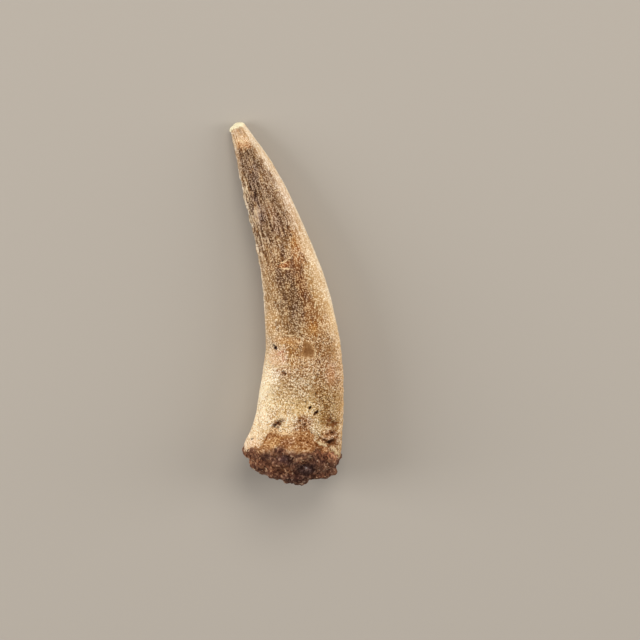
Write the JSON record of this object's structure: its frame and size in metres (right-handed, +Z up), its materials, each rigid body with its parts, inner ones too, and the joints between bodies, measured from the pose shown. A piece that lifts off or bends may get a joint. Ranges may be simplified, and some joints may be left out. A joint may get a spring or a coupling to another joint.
{
  "type": "fossil plesiosaur tooth",
  "caption": "Long curved conical fossil tooth lying on its side, with a blunt worn tip, a pitted root and dark hardened sediment cemented over its broken root end.",
  "frame": {"origin": "middle of the footprint's bounding box, on the surface the tooth lies on", "axes": "+Y from the broken root end to the tip; the crown curves towards -X, so its outer, convex side faces +X; +Z up, out of the side that is shown"},
  "size_m": [0.015, 0.0478, 0.011],
  "materials": {
    "fossil_tooth": "worn fossil enamel and dentine, satin on the crown and matt on the root, cream to brown",
    "matrix_sediment": "matt, granular, dark reddish brown"
  },
  "bodies": {
    "root": {"tooth": "fossil_tooth", "matrix": "matrix_sediment"}
  },
  "joints": []
}
